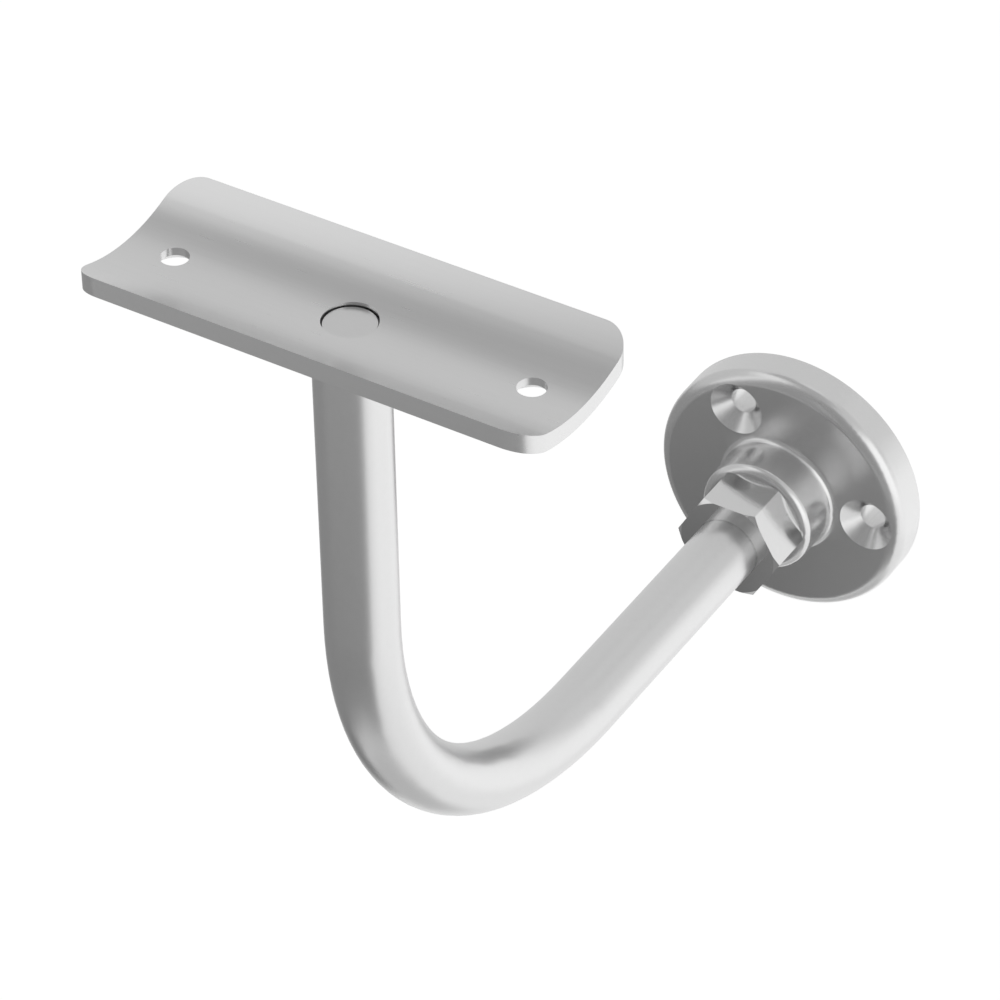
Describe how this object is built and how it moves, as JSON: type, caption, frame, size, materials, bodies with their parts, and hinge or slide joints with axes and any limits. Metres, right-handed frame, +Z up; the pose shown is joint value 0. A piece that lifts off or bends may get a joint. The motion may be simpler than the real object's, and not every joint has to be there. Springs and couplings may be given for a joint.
{
  "type": "handrail bracket",
  "caption": "Wall bracket for a handrail: a bent round bar screwed into a round wall rose and locked by a hexagon nut, with a curved plate on top for the rail.",
  "frame": {"origin": "centre of the rose's wall face, where the stem's axis meets the wall", "axes": "+Y into the wall along the stem, +X along the handrail, +Z up"},
  "size_m": [0.08, 0.1565, 0.1534],
  "materials": {
    "rose_steel": "polished turned stainless steel",
    "nut_steel": "polished stainless steel",
    "bar_steel": "satin to polished stainless steel",
    "saddle_steel": "satin stainless sheet"
  },
  "bodies": {
    "root": {"wall_rose": "rose_steel", "lock_nut": "nut_steel", "support_arm": "bar_steel", "saddle_plate": "saddle_steel"}
  },
  "joints": []
}
